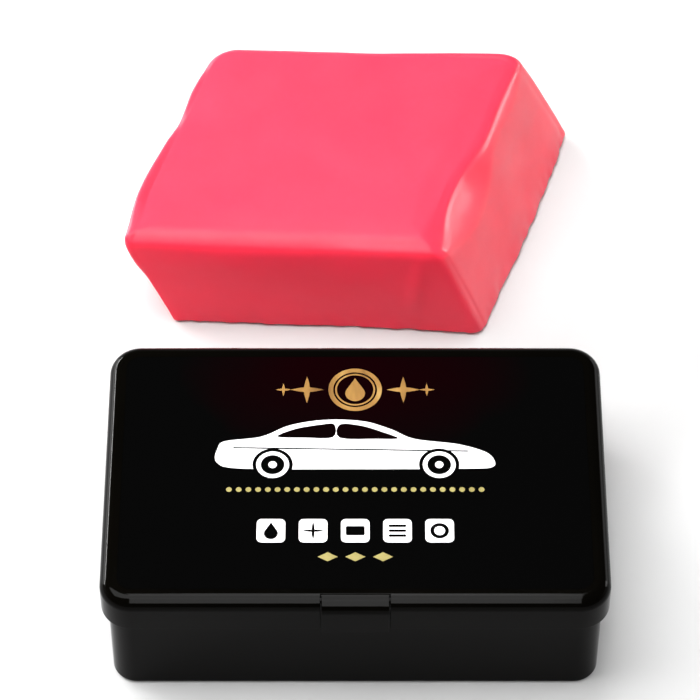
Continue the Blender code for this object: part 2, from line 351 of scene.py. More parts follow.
def add_disc(bm, low_radius, high_radius, depth, place):
    disc = bmesh.ops.create_cone(
        bm, cap_ends=True, segments=MARK_STEPS, radius1=low_radius, radius2=high_radius, depth=depth
    )
    bmesh.ops.translate(bm, verts=disc["verts"], vec=place)


def ejector_marks(height):
    """Four shallow discs that cut the witness marks of the mould's ejector pins at the height given."""
    bm = bmesh.new()
    for x in (-MARK_X, MARK_X):
        for y in (-MARK_Y, MARK_Y):
            add_disc(bm, MARK_RADIUS, MARK_RADIUS, 2 * MARK_DEPTH, (x, y, height))
    return bm


def gate_dimple():
    """A shallow round dimple under the base, where the plastic was fed in."""
    bm = bmesh.new()
    add_disc(bm, GATE_RADIUS, GATE_RADIUS / 2, 2 * GATE_DEPTH, (0.0, 0.0, 0.0))
    return bm


# Case pieces

def shell_ring(half_width, half_depth, corner, inset, height):
    return (rounded_rectangle(half_width - inset, half_depth - inset, corner - inset), height)


def build_base():
    def ring(inset, height):
        return shell_ring(BASE_HALF_WIDTH, BASE_HALF_DEPTH, BASE_CORNER, inset, height)

    turns = quarter_turn()
    rings = [ring(FOOT_FILLET * (1 - math.sin(t)), FOOT_FILLET * (1 - math.cos(t))) for t in turns]
    rings += [ring(RIM_FILLET * (1 - math.cos(t)), RIM_TOP - RIM_FILLET * (1 - math.sin(t))) for t in turns]
    rings.append(ring(BASE_WALL, RIM_TOP))
    rings += [
        ring(BASE_WALL + FLOOR_FILLET * (1 - math.cos(t)), BASE_WALL + FLOOR_FILLET * (1 - math.sin(t)))
        for t in turns
    ]
    base = make_object("case_base_shell", loft(rings))

    ears = bmesh.new()
    for station in (-STATION_X, STATION_X):
        for side in (-1, 1):
            near = station + side * EAR_START
            far = near + side * EAR_THICKNESS
            extrude_along_x(ears, ear_profile(), min(near, far), max(near, far))
    bead = bmesh.new()
    bead_profile = ridge(-BASE_HALF_DEPTH + BASE_WALL / 3, -BASE_HALF_DEPTH - BEAD_DEPTH, BEAD_HEIGHT)
    extrude_along_x(bead, bead_profile, -BEAD_WIDTH / 2, BEAD_WIDTH / 2)
    combine(base, [("UNION", ears), ("UNION", bead), ("DIFFERENCE", hinge_bores())])
    break_edges(base)
    combine(base, [("DIFFERENCE", ejector_marks(BASE_WALL)), ("DIFFERENCE", gate_dimple())])
    return settle_shading(base)


def build_lid():
    def ring(inset, height):
        return shell_ring(HALF_WIDTH, HALF_DEPTH, LID_CORNER, inset, height)

    inner_fillet = LID_FILLET - LID_WALL
    turns = quarter_turn()
    rings = [
        ring(LID_WALL + inner_fillet * (1 - math.sin(t)), LID_UNDERSIDE - inner_fillet * (1 - math.cos(t)))
        for t in turns
    ]
    rings.append(ring(LID_WALL, SKIRT_BOTTOM))
    rings.append(ring(SKIRT_FILLET, SKIRT_BOTTOM))
    rings.append(ring(0.0, SKIRT_BOTTOM + SKIRT_FILLET))
    rings += [
        ring(LID_FILLET * (1 - math.cos(t)), CASE_HEIGHT - LID_FILLET * (1 - math.sin(t)))
        for t in turns
    ]
    lid = make_object("case_lid_shell", loft(rings))

    lugs = bmesh.new()
    for station in (-STATION_X, STATION_X):
        extrude_along_x(lugs, lug_profile(), station - LUG_HALF_WIDTH, station + LUG_HALF_WIDTH)
    notch = bmesh.new()
    notch_half = TAB_HIGH.x + TAB_SLIT
    notch_profile = [
        (TAB_LOW.y, SKIRT_BOTTOM - CUT_PAST),
        (TAB_HIGH.y, SKIRT_BOTTOM - CUT_PAST),
        (TAB_HIGH.y, CASE_HEIGHT + CUT_PAST),
        (TAB_LOW.y, CASE_HEIGHT + CUT_PAST),
    ]
    extrude_along_x(notch, notch_profile, -notch_half, notch_half)
    combine(lid, [("UNION", lugs), ("DIFFERENCE", hinge_bores()), ("DIFFERENCE", notch)])
    break_edges(lid)

    # The label's recess keeps its edge crisp, so that the label lies flush with no line round it.
    outline = rounded_rectangle(LABEL_HIGH.x + GROOVE, LABEL_HIGH.y + GROOVE, LABEL_CORNER + GROOVE)
    recess = loft([(outline, CASE_HEIGHT - RECESS_DEPTH), (outline, CASE_HEIGHT + CUT_PAST)])
    combine(lid, [("DIFFERENCE", recess), ("DIFFERENCE", ejector_marks(LID_UNDERSIDE))])
    return settle_shading(lid)


def build_tab():
    """The tongue: over the lid's front edge, down to the skirt's lower edge, with the nub inside."""
    bend = TAB_HIGH.y - TAB_LOW.y
    turns = quarter_turn()
    outer = [
        (TAB_HIGH.y - bend * math.sin(t), CASE_HEIGHT - TAB_BEND_HEIGHT * (1 - math.cos(t)))
        for t in turns
    ]
    inner_bend = bend - TAB_WALL
    inner_height = TAB_BEND_HEIGHT - TAB_WALL
    inner = [
        (TAB_HIGH.y - inner_bend * math.sin(t), LID_UNDERSIDE - inner_height * (1 - math.cos(t)))
        for t in reversed(turns)
    ]
    inner_y = TAB_LOW.y + TAB_WALL
    nub = ridge(inner_y, inner_y + NUB_DEPTH, NUB_HEIGHT)
    foot = [(TAB_LOW.y, SKIRT_BOTTOM), (inner_y, SKIRT_BOTTOM)]
    bm = bmesh.new()
    extrude_along_x(bm, [*outer, *foot, *nub, *inner], TAB_LOW.x, TAB_HIGH.x)
    return settle_shading(break_edges(make_object("latch_tongue", bm)))


def build_pin(name, station):
    """A drawn wire pin with domed ends."""
    turns = quarter_turn(4)
    dome = [
        (PIN_RADIUS - PIN_DOME * (1 - math.cos(t)), PIN_HALF_LENGTH - PIN_DOME * (1 - math.sin(t)))
        for t in turns
    ]
    rings = [(radius, -along) for radius, along in reversed(dome)] + dome
    bm = loft([(circle((0.0, 0.0), radius), along) for radius, along in rings])
    turn = Matrix.Translation((station, HINGE.y, HINGE.z)) @ Matrix.Rotation(math.radians(90.0), 4, "Y")
    bmesh.ops.transform(bm, matrix=turn, verts=bm.verts)
    pin = make_object(name, bm)
    pin.data.set_sharp_from_angle(angle=PIN_SHARP_ANGLE)
    return pin


# Label artwork, in (x, y) on the lid

LABEL_CORNER = 2.8 * MM
LABEL_THICKNESS = 0.3 * MM
LABEL_TOP = CASE_HEIGHT + 0.01 * MM
MERGE_DISTANCE = 1e-7
INKS = ("black", "white", "gold", "brass")

EMBLEM_CENTRE = (0.0, 19.4 * MM)
EMBLEM_RADIUS = 5.2 * MM
CAR_CENTRE = (0.0, -1.4 * MM)
CAR_HEIGHT = 13.4 * MM
DOTS_Y = -4.6 * MM
DOT_PITCH = 1.85 * MM
DOT_RADIUS = 0.56 * MM
DOTS_EACH_SIDE = 13
BADGES_CENTRE = (0.0, -14.2 * MM)
BADGE_HALF = 2.7 * MM
BADGE_PITCH = 2.95 * BADGE_HALF
LOZENGES_Y = -20.2 * MM
LOZENGE_PITCH = 5.2 * MM
LOZENGE_HALF = 1.9 * MM

# In units of the emblem's radius: each ring's ink and radius, and each sparkle's distance and reach
EMBLEM_RINGS = (("gold", 1.0), ("black", 0.82), ("gold", 0.75), ("black", 0.68))
EMBLEM_SPARKLES = ((1.80, 0.62), (2.68, 0.30))
EMBLEM_DROP = 1.08
EMBLEM_WAIST = 0.26
RING_STEPS = 56
SMALL_RING_STEPS = 32
DOT_STEPS = 16

# In units of the car's height: its wheels' middles, and each wheel's inks and radii from the arch inwards
WHEEL_PLACES = ((-1.18, 0.20), (1.20, 0.20))
WHEEL_RINGS = (("black", 0.29), ("white", 0.235), ("black", 0.17), ("white", 0.06))


def sparkle(centre, reach, waist, steps=8):
    """A four-pointed star with hollow sides."""
    points = []
    for step in range(4 * steps):
        angle = math.radians(90.0 * step / steps)
        hollow = math.sin(math.pi * (step % steps) / steps) ** 0.6
        radius = reach * (1 - (1 - waist) * hollow)
        points.append((centre[0] + radius * math.cos(angle), centre[1] + radius * math.sin(angle)))
    return points


def drop(centre, height, steps=24):
    """A water drop: a round belly under a point."""
    radius = height * 0.34
    belly = arc((centre[0], centre[1] - height / 2 + radius), radius, 150.0, 390.0, steps)
    return [(centre[0], centre[1] + height / 2), *belly]


def smooth_outline(points, steps=6):
    """A closed smooth curve through the points, by Catmull-Rom."""
    result = []
    count = len(points)
    for index in range(count):
        before, start, end, after = (Vector(points[(index + shift) % count]) for shift in (-1, 0, 1, 2))
        for step in range(steps):
            t = step / steps
            point = 0.5 * (
                2 * start
                + (end - before) * t
                + (2 * before - 5 * start + 4 * end - after) * t**2
                + (3 * start - before - 3 * end + after) * t**3
            )
            result.append(tuple(point))
    return result


def scaled(points, centre, scale):
    return [(centre[0] + x * scale, centre[1] + y * scale) for x, y in points]


def counter_clockwise(points):
    """The outline, turned round where it runs clockwise."""
    area = 0.0
    for index, (x, y) in enumerate(points):
        before_x, before_y = points[index - 1]
        area += before_x * y - x * before_y
    return points if area > 0 else points[::-1]


def car_outlines(centre, scale):
    """A low coupe seen from the side, nose to the right, as inks and outlines. The scale is its height."""
    body = smooth_outline([
        (-1.98, 0.24), (-1.97, 0.50), (-1.86, 0.62), (-1.35, 0.70), (-0.95, 0.90), (-0.45, 1.00),
        (0.10, 0.98), (0.50, 0.84), (0.85, 0.66), (1.45, 0.57), (1.84, 0.44), (1.98, 0.30),
        (1.96, 0.16), (1.60, 0.13), (0.00, 0.12), (-1.60, 0.13),
    ])
    rear_glass = smooth_outline([
        (-1.12, 0.70), (-0.86, 0.84), (-0.48, 0.92), (-0.30, 0.92), (-0.32, 0.69), (-0.70, 0.68),
    ], 4)
    front_glass = smooth_outline([
        (-0.22, 0.92), (0.08, 0.90), (0.38, 0.79), (0.62, 0.67), (0.30, 0.66), (-0.22, 0.68),
    ], 4)
    crease = [(-1.75, 0.49), (1.62, 0.43), (1.62, 0.455), (-1.75, 0.515)]
    shapes = [("white", body), ("black", rear_glass), ("black", front_glass)]
    for hub in WHEEL_PLACES:
        shapes += [(ink, circle(hub, radius, SMALL_RING_STEPS)) for ink, radius in WHEEL_RINGS]
    shapes.append(("black", crease))
    return [(ink, scaled(outline, centre, scale)) for ink, outline in shapes]


def emblem_outlines(centre, radius):
    """A ring with a drop in it, and sparkles to both sides."""
    shapes = [(ink, circle(centre, radius * share, RING_STEPS)) for ink, share in EMBLEM_RINGS]
    shapes.append(("gold", drop(centre, radius * EMBLEM_DROP)))
    for side in (-1, 1):
        for distance, reach in EMBLEM_SPARKLES:
            spot = (centre[0] + side * radius * distance, centre[1])
            shapes.append(("gold", sparkle(spot, radius * reach, EMBLEM_WAIST)))
    return shapes


def badge_sign(number, spot, half):
    """One badge's sign: a drop, a sparkle, a block, three lines or a ring, cut out of the badge."""
    if number == 0:
        return [("black", drop(spot, half * 1.45))]
    if number == 1:
        return [("black", sparkle(spot, half * 0.80, 0.18))]
    if number == 2:
        return [("black", rounded_rectangle(half * 0.66, half * 0.40, half * 0.12, 4, spot))]
    if number == 3:
        bars = [(spot[0], spot[1] + row * half) for row in (-0.42, 0.0, 0.42)]
        return [("black", rounded_rectangle(half * 0.62, half * 0.11, half * 0.10, 3, bar)) for bar in bars]
    rings = (("black", 0.66), ("white", 0.38))
    return [(ink, circle(spot, half * radius, SMALL_RING_STEPS)) for ink, radius in rings]


def badge_outlines(centre, half, pitch):
    """Five white badges in a row, each with a plain sign cut out of it."""
    shapes = []
    for number in range(5):
        spot = (centre[0] + (number - 2) * pitch, centre[1])
        shapes.append(("white", rounded_rectangle(half, half, half * 0.35, 6, spot)))
        shapes += badge_sign(number, spot, half)
    return shapes


def label_artwork():
    """Everything printed on the label, in the order that it is printed: (ink, outline)."""
    shapes = emblem_outlines(EMBLEM_CENTRE, EMBLEM_RADIUS)
    shapes += car_outlines(CAR_CENTRE, CAR_HEIGHT)
    for number in range(-DOTS_EACH_SIDE, DOTS_EACH_SIDE + 1):
        shapes.append(("brass", circle((number * DOT_PITCH, DOTS_Y), DOT_RADIUS, DOT_STEPS)))
    shapes += badge_outlines(BADGES_CENTRE, BADGE_HALF, BADGE_PITCH)
    lozenge = [(1, 0), (0, 0.55), (-1, 0), (0, -0.55)]
    for number in (-1, 0, 1):
        spot = (number * LOZENGE_PITCH, LOZENGES_Y)
        shapes.append(("brass", scaled(lozenge, spot, LOZENGE_HALF)))
    return shapes


def build_label():
    """A thin sheet whose top face is split along the artwork's outlines, each part with its own ink."""
    sheet = rounded_rectangle(LABEL_HIGH.x, LABEL_HIGH.y, LABEL_CORNER, 12)
    layers = [("black", sheet), *label_artwork()]
    points = []
    outlines = []
    for _, outline in layers:
        outlines.append(list(range(len(points), len(points) + len(outline))))
        points.extend(Vector(point) for point in counter_clockwise(outline))
    only_inside_outlines = 1
    found = geometry.delaunay_2d_cdt(points, [], outlines, only_inside_outlines, MERGE_DISTANCE)
    coords, _, faces, _, _, owners = found

    bm = bmesh.new()
    top = [bm.verts.new((point.x, point.y, LABEL_TOP)) for point in coords]
    for corners, owner in zip(faces, owners):
        if not owner:
            continue
        face = bm.faces.new([top[corner] for corner in corners])
        face.material_index = INKS.index(layers[max(owner)][0])
    bmesh.ops.recalc_face_normals(bm, faces=bm.faces)
    if bm.faces[0].normal.z < 0:
        bmesh.ops.reverse_faces(bm, faces=bm.faces)
    rim = [edge for edge in bm.edges if edge.is_boundary]
    walls = bmesh.ops.extrude_edge_only(bm, edges=rim)["geom"]
    lower = [item for item in walls if isinstance(item, bmesh.types.BMVert)]
    for vert in lower:
        vert.co.z = LABEL_TOP - LABEL_THICKNESS
    for face in (item for item in walls if isinstance(item, bmesh.types.BMFace)):
        face.material_index = 0
    bottom_edges = [item for item in walls if isinstance(item, bmesh.types.BMEdge) and item.is_boundary]
    bottom = bmesh.ops.contextual_create(bm, geom=bottom_edges)["faces"]
    for face in bottom:
        face.material_index = 0
    mesh = bpy.data.meshes.new("printed_label")
    bm.to_mesh(mesh)
    bm.free()
    label = bpy.data.objects.new("printed_label", mesh)
    bpy.context.scene.collection.objects.link(label)
    return label


# Clay

CLAY_EDGE = 1.9 * MM
CLAY_FOOT_EDGE = 0.7 * MM
CLAY_GRID = 0.62 * MM
EDGE_TURNS = 7

# The rim of the top widens over this stretch, measured back from the front
FRONT_RIM_WIDENING = 2.1 * MM
FRONT_RIM_START = 14.0 * MM
FRONT_RIM_END = 3.0 * MM

# How much wider than CLAY_EDGE each upright edge is at its top, by its sides in x and y
UPRIGHT_WIDENING = {(-1, -1): 0.6 * MM, (1, -1): 0.6 * MM, (-1, 1): 3.4 * MM, (1, 1): 2.8 * MM}

# Unevenness: the size of its lumps, and their height on the sides and on the top
LUMPS = (
    (24.0 * MM, 0.55 * MM, 0.18 * MM),
    (9.0 * MM, 0.22 * MM, 0.05 * MM),
    (3.2 * MM, 0.05 * MM, 0.0),
)
RIPPLE_SEED = 4
RIPPLE_SIZE = 1.9 * MM
RIPPLE_HEIGHT = 0.40 * MM
RIPPLE_STRETCH = np.array([1.0, 1.0, 0.25])

TOP_SINK = 0.35 * MM
TOP_SINK_WIDTH = 9.0 * MM
UNDERSIDE_FACING = -0.3
SOFTEN_SHARE = 0.5
SOFTEN_TIMES = 4


def edge_spacing(half):
    """Positions across one side of the block: even over the flat, and at even turns round each edge."""
    turns = [math.tan(math.radians(45.0) * step / EDGE_TURNS) for step in range(1, EDGE_TURNS + 1)]
    flat = half - CLAY_EDGE
    count = max(2, round(2 * flat / CLAY_GRID))
    middle = [-flat + 2 * flat * step / count for step in range(count + 1)]
    upper = [flat + CLAY_EDGE * turn for turn in turns]
    return [-value for value in reversed(upper)] + middle + upper


def block_grid(half):
    """Vertices and quads of a box's surface, with shared vertices, from the spacing along each axis."""
    axes = [edge_spacing(size) for size in half]
    index = {}
    coords = []
    faces = []

    def vertex(place):
        if place not in index:
            index[place] = len(coords)
            coords.append([axes[axis][place[axis]] for axis in range(3)])
        return index[place]

    for axis in range(3):
        across, up = (axis + 1) % 3, (axis + 2) % 3
        for end in (0, len(axes[axis]) - 1):
            for i in range(len(axes[across]) - 1):
                for j in range(len(axes[up]) - 1):
                    corners = []
                    for step_i, step_j in ((0, 0), (1, 0), (1, 1), (0, 1)):
                        place = [0, 0, 0]
                        place[axis] = end
                        place[across] = i + step_i
                        place[up] = j + step_j
                        corners.append(vertex(tuple(place)))
                    faces.append(corners if end else corners[::-1])
    return np.array(coords), faces


def bump(values, middle, width):
    """A smooth bump of height 1 round the middle, falling to nothing over the width."""
    distance = np.clip(np.abs(values - middle) / width, 0.0, 1.0)
    return (1 - distance**2) ** 2


def step_up(values, start, end):
    share = np.clip((values - start) / (end - start), 0.0, 1.0)
    return share * share * (3 - 2 * share)


def near_face(values, half, radius):
    """How far each value has come through the rounding under a face: 0 where it starts, 1 at the face."""
    return np.clip((values - half) / radius + 1.0, 0.0, None)


def draw_in(across, up):
    """The change of scale that turns a square section, with its corner at (1, 1), into a quarter circle."""
    inside = (across > 0) & (up > 0)
    reach = np.where(inside, np.hypot(across, up), 1.0)
    return np.where(inside, np.maximum(across, up) / reach, 1.0) - 1.0


def round_rim(coords, half, upward, radius):
    """Rounds the whole rim of the top (upward 1) or of the underside (upward -1)."""
    sides = [near_face(np.abs(coords[:, axis]), half[axis], radius) for axis in (0, 1)]
    rise = near_face(coords[:, 2] * upward, half[2], radius)
    pull = draw_in(np.maximum(*sides), rise)
    for axis, side in enumerate(sides):
        coords[:, axis] += np.sign(coords[:, axis]) * radius * side * pull
    coords[:, 2] += upward * radius * rise * pull


def round_upright(coords, half, side_x, side_y, radius):
    """Rounds one of the four upright edges, picked by its signs."""
    across = near_face(coords[:, 0] * side_x, half[0], radius)
    along = near_face(coords[:, 1] * side_y, half[1], radius)
    pull = draw_in(across, along)
    coords[:, 0] += side_x * radius * across * pull
    coords[:, 1] += side_y * radius * along * pull


def surface_normals(coords, faces):
    mesh = bpy.data.meshes.new("shape")
    mesh.from_pydata([tuple(point) for point in coords], [], faces)
    normals = np.empty(coords.size)
    mesh.vertices.foreach_get("normal", normals)
    bpy.data.meshes.remove(mesh)
    return normals.reshape(coords.shape)


def noise_field(coords, size, seed):
    """Smooth noise from -1 to 1, with lumps of the size given, at each point."""
    shift = Vector((seed * 17.3, seed * 5.7, seed * 11.9))
    return np.array([noise.noise(Vector(point) / size + shift) for point in coords])


def rounded_block(half):
    """The plain block with soft edges: its points, its faces, and each point's height from 0 to 1."""
    coords, faces = block_grid(half)
    lift = (coords[:, 2] + half[2]) / CLAY_HEIGHT
    front_rim = step_up(-coords[:, 1], half[1] - FRONT_RIM_START, half[1] - FRONT_RIM_END)
    round_rim(coords, half, 1, CLAY_EDGE + FRONT_RIM_WIDENING * front_rim)
    round_rim(coords, half, -1, CLAY_FOOT_EDGE)
    for (side_x, side_y), widening in UPRIGHT_WIDENING.items():
        round_upright(coords, half, side_x, side_y, CLAY_EDGE + widening * lift)
    return coords, faces, lift


class Block:
    """The rounded block's points, with the measures that its shaping goes by."""

    def __init__(self, half):
        self.half = half
        self.coords, self.faces, self.lift = rounded_block(half)
        self.normals = surface_normals(self.coords, self.faces)
        self.x, self.y, self.z = self.coords.T
        self.along = (self.y + half[1]) / CLAY_WIDTH
        self.on_top = step_up(self.normals[:, 2], 0.5, 0.95)
        self.on_side = 1 - np.abs(self.normals[:, 2])


# Each of these says how far the points are pushed out.

def lumps(block):
    """Slow, medium and small unevenness, weaker on the top."""
    push = np.zeros(len(block.coords))
    for seed, (size, side_height, top_height) in enumerate(LUMPS, start=1):
        height = side_height * block.on_side + top_height * block.on_top
        push += noise_field(block.coords, size, seed) * height
    return push


def foot_ripple(block):
    """Small ripples along the foot."""
    ripple = noise_field(block.coords * RIPPLE_STRETCH, RIPPLE_SIZE, RIPPLE_SEED)
    return RIPPLE_HEIGHT * ripple * block.on_side * (1 - step_up(block.lift, 0.02, 0.20))


def side_swell(block):
    """The sides bulge a little at mid height and pull in towards the top."""
    bulge = 0.5 * MM * bump(block.lift, 0.45, 0.6)
    pull_in = 0.3 * MM * step_up(block.lift, 0.7, 1.0)
    return (bulge - pull_in) * block.on_side


def right_end_belly(block):
    """The right end has a slight belly, fuller towards its back and its foot."""
    belly = 0.5 * MM * bump(block.along, 0.70, 0.5) * (1 - 0.6 * block.lift)
    foot = 0.8 * MM * (1 - step_up(block.lift, 0.1, 0.7)) * step_up(block.along, 0.1, 0.5)
    return (belly + foot) * step_up(block.normals[:, 0], 0.10, 0.75)


def front_fullness(block):
    """The front is fuller at its lower right, with a fold down and inwards from its top right corner."""
    fullness = 1.0 * MM * step_up(block.x, 2.0 * MM, 24.0 * MM) * (1 - 0.7 * block.lift)
    fold_x = block.half[0] - 4.0 * MM - 11.0 * MM * (1 - block.lift)
    fold = 0.55 * MM * bump(block.x, fold_x, 2.4 * MM) * bump(block.lift, 0.55, 0.42)
    return (fullness + fold) * step_up(-block.normals[:, 1], 0.45, 0.9)


def back_fullness(block):
    """The back is a little fuller towards the right."""
    return 0.9 * MM * step_up(block.x, -5.0 * MM, 28.0 * MM) * step_up(block.normals[:, 1], 0.3, 0.8)


def left_end_swells(block):
    """The left end has two swells along its top, a nick between, and a foot drawn in at the front."""
    upper = step_up(block.lift, 0.3, 0.9)
    front_swell = 1.4 * MM * bump(block.y, -14.0 * MM, 25.0 * MM) * upper
    back_swell = 0.6 * MM * bump(block.y, 14.0 * MM, 9.0 * MM) * upper
    nick = 0.15 * MM * bump(block.y, 4.5 * MM, 4.5 * MM) * step_up(block.lift, 0.5, 0.95)
    front_half = 1 - step_up(block.y, -18.0 * MM, 2.0 * MM)
    drawn_in = 1.7 * MM * (1 - step_up(block.lift, 0.1, 0.8)) * front_half
    return (front_swell + back_swell - nick - drawn_in) * step_up(-block.normals[:, 0], 0.2, 0.8)


def press_right_edge(coords, block):
    """Presses the right end's top edge over into a slope, narrow at the back and broad at the front."""
    end_x = block.half[0]
    broad = 6.0 * MM * bump(block.along, 0.28, 0.37)
    narrow = 1.4 * MM * bump(block.along, 0.74, 0.26)
    slope_height = 1.8 * MM + broad + narrow
    slope_share = np.clip((block.z - (block.half[2] - slope_height)) / slope_height, 0.0, 1.0)
    near_end = step_up(block.x, end_x - 12.0 * MM, end_x - 2.0 * MM)
    coords[:, 0] -= 0.42 * slope_height * near_end * slope_share**1.3


def sink_top_edges(coords, block):
    rim_x = step_up(np.abs(block.x), block.half[0] - TOP_SINK_WIDTH, block.half[0])
    rim_y = step_up(np.abs(block.y), block.half[1] - TOP_SINK_WIDTH, block.half[1])
    coords[:, 2] -= TOP_SINK * block.on_top * np.maximum(rim_x, rim_y)


SHAPINGS = (
    lumps, foot_ripple, side_swell, right_end_belly, front_fullness, back_fullness, left_end_swells,
)


def build_clay():
    """A hand-shaped block: soft edges, slow lumps, a pressed right edge, a fold and a rippled foot."""
    block = Block(np.array([CLAY_LENGTH, CLAY_WIDTH, CLAY_HEIGHT]) / 2)
    push = sum(shaping(block) for shaping in SHAPINGS)
    push[block.normals[:, 2] < UNDERSIDE_FACING] = 0.0
    coords = block.coords + block.normals * push[:, None]
    press_right_edge(coords, block)
    sink_top_edges(coords, block)

    coords[:, 0] += coords[:, 1] * math.tan(CLAY_SKEW) - coords[:, 2] * math.tan(CLAY_END_SLANT)
    coords[:, 2] = np.maximum(coords[:, 2] + CLAY_HEIGHT / 2, 0.0)
    mesh = bpy.data.meshes.new("clay_block")
    mesh.from_pydata([tuple(point) for point in coords], [], block.faces)
    mesh.transform(Matrix.Translation(CLAY_PLACE) @ Matrix.Rotation(CLAY_YAW, 4, "Z"))
    mesh.update()
    mesh.shade_smooth()
    clay = bpy.data.objects.new("clay_block", mesh)
    bpy.context.scene.collection.objects.link(clay)
    soften = clay.modifiers.new("soften", "SMOOTH")
    soften.factor = SOFTEN_SHARE
    soften.iterations = SOFTEN_TIMES
    bpy.context.view_layer.update()
    return apply_modifiers(clay)


# Materials

# Colours, from one end of each ramp to the other: (position, (red, green, blue))
SHELL_BLACKS = [(0.3, (0.0008, 0.0007, 0.0005)), (0.75, (0.0013, 0.0011, 0.0008))]
LABEL_BLACKS = [(0.0, (0.0009, 0.0009, 0.0009)), (1.0, (0.0032, 0.0001, 0.0005))]
LABEL_WHITES = [(0.2, (0.84, 0.84, 0.84)), (0.8, (0.93, 0.93, 0.93))]
LABEL_GOLDS = [(0.25, (0.17, 0.078, 0.015)), (0.55, (0.31, 0.160, 0.036)), (0.8, (0.46, 0.30, 0.10))]
LABEL_BRASSES = [(0.3, (0.23, 0.19, 0.055)), (0.7, (0.30, 0.26, 0.085))]
STEEL_GREYS = [(0.3, (0.42, 0.42, 0.43)), (0.7, (0.62, 0.62, 0.63))]
# The darkest stop, at 0.0, is reached only on the ends, where it is painted shade; the rest is random
# variation.
CLAY_PINKS_AND_END_SHADE = [(0.0, (0.690, 0.021, 0.052)), (0.5, (0.830, 0.028, 0.063)), (1.0, (0.870, 0.035, 0.074))]
FLOOR_GREYS = [(0.0, (0.49, 0.49, 0.49)), (1.0, (0.51, 0.51, 0.51))]

RANGE_INPUTS = ("From Min", "From Max", "To Min", "To Max")
LABEL_FILM = {"Coat_Weight": 0.3, "Coat_Roughness": 0.045, "Coat_IOR": 1.4}

# The faint maroon glow in the label's black is an ellipse round a point near the label's back edge.
GLOW_CENTRE_Y = 24.0 * MM
GLOW_HALF_WIDTH = 34.0 * MM
GLOW_HALF_DEPTH = 21.0 * MM


class Surface:
    """A Principled material and the few node moves that every finish here needs."""

    def __init__(self, name, **settings):
        self.material = bpy.data.materials.new(name)
        self.material.use_nodes = True
        self.nodes = self.material.node_tree.nodes
        self.links = self.material.node_tree.links
        self.shader = self.nodes["Principled BSDF"]
        self.where = self.nodes.new("ShaderNodeTexCoord").outputs["Object"]
        for label, value in settings.items():
            self.shader.inputs[label.replace("_", " ")].default_value = value

    def noise(self, scale, detail=3.0, roughness=0.5, stretch=None):
        texture = self.nodes.new("ShaderNodeTexNoise")
        texture.inputs["Scale"].default_value = scale
        texture.inputs["Detail"].default_value = detail
        texture.inputs["Roughness"].default_value = roughness
        source = self.where
        if stretch:
            mapping = self.nodes.new("ShaderNodeMapping")
            mapping.inputs["Scale"].default_value = stretch
            self.links.new(source, mapping.inputs["Vector"])
            source = mapping.outputs["Vector"]
        self.links.new(source, texture.inputs["Vector"])
        return texture.outputs["Fac"]

    def ramp(self, value, stops):
        ramp = self.nodes.new("ShaderNodeValToRGB")
        elements = ramp.color_ramp.elements
        while len(elements) < len(stops):
            elements.new(0.5)
        for element, (position, colour) in zip(elements, stops):
            element.position = position
            element.color = (*colour, 1.0)
        self.links.new(value, ramp.inputs["Fac"])
        return ramp.outputs["Color"]

    def remap(self, value, low, high, to_low, to_high):
        node = self.nodes.new("ShaderNodeMapRange")
        for label, number in zip(RANGE_INPUTS, (low, high, to_low, to_high)):
            node.inputs[label].default_value = number
        self.links.new(value, node.inputs["Value"])
        return node.outputs["Result"]

    def math(self, operation, first, second):
        node = self.nodes.new("ShaderNodeMath")
        node.operation = operation
        for socket, value in zip(node.inputs, (first, second)):
            if isinstance(value, (int, float)):
                socket.default_value = value
            else:
                self.links.new(value, socket)
        return node.outputs["Value"]

    def bump(self, height, distance, strength=1.0):
        node = self.nodes.new("ShaderNodeBump")
        node.inputs["Distance"].default_value = distance
        node.inputs["Strength"].default_value = strength
        self.links.new(height, node.inputs["Height"])
        self.links.new(node.outputs["Normal"], self.shader.inputs["Normal"])

    def drive(self, label, value):
        self.links.new(value, self.shader.inputs[label])


def shell_material():
    """Glossy black moulded plastic, with a faint flow texture and hairline scuffs."""
    surface = Surface("shell_black", IOR=1.45, Specular_IOR_Level=0.045)
    surface.drive("Base Color", surface.ramp(surface.noise(38.0, 4.0), SHELL_BLACKS))
    flow = surface.remap(surface.noise(90.0, 5.0), 0.3, 0.7, 0.06, 0.10)
    scuffs = surface.remap(surface.noise(260.0, 2.0, 0.6, stretch=(1.0, 14.0, 4.0)), 0.62, 0.8, 0.0, 0.05)
    surface.drive("Roughness", surface.math("ADD", flow, scuffs))
    surface.bump(surface.noise(420.0, 3.0), 0.012 * MM, 0.6)
    return surface.material


def black_ink():
    """Black, with a mottled maroon glow towards the label's back edge."""
    ink = Surface("ink_black", Roughness=0.30, Specular_IOR_Level=0.0, **LABEL_FILM)
    place = ink.nodes.new("ShaderNodeSeparateXYZ")
    ink.links.new(ink.where, place.inputs["Vector"])
    across = ink.math("MULTIPLY", place.outputs["X"], 1 / GLOW_HALF_WIDTH)
    from_centre = ink.math("SUBTRACT", place.outputs["Y"], GLOW_CENTRE_Y)
    along = ink.math("MULTIPLY", from_centre, 1 / GLOW_HALF_DEPTH)
    spread = ink.math("ADD", ink.math("MULTIPLY", across, across), ink.math("MULTIPLY", along, along))
    mottle = ink.remap(ink.noise(70.0, 4.0), 0.2, 0.8, -0.18, 0.18)
    glow = ink.math("SUBTRACT", 1.0, ink.math("ADD", spread, mottle))
    ink.drive("Base Color", ink.ramp(glow, LABEL_BLACKS))
    return ink.material


def white_ink():
    ink = Surface("ink_white", Roughness=0.35, **LABEL_FILM)
    ink.drive("Base Color", ink.ramp(ink.noise(900.0, 2.0), LABEL_WHITES))
    return ink.material


def gold_ink():
    ink = Surface("ink_gold", Metallic=0.55, Roughness=0.38, **LABEL_FILM)
    sheen = ink.noise(240.0, 3.0, 0.6, stretch=(1.0, 0.35, 1.0))
    ink.drive("Base Color", ink.ramp(sheen, LABEL_GOLDS))
    return ink.material


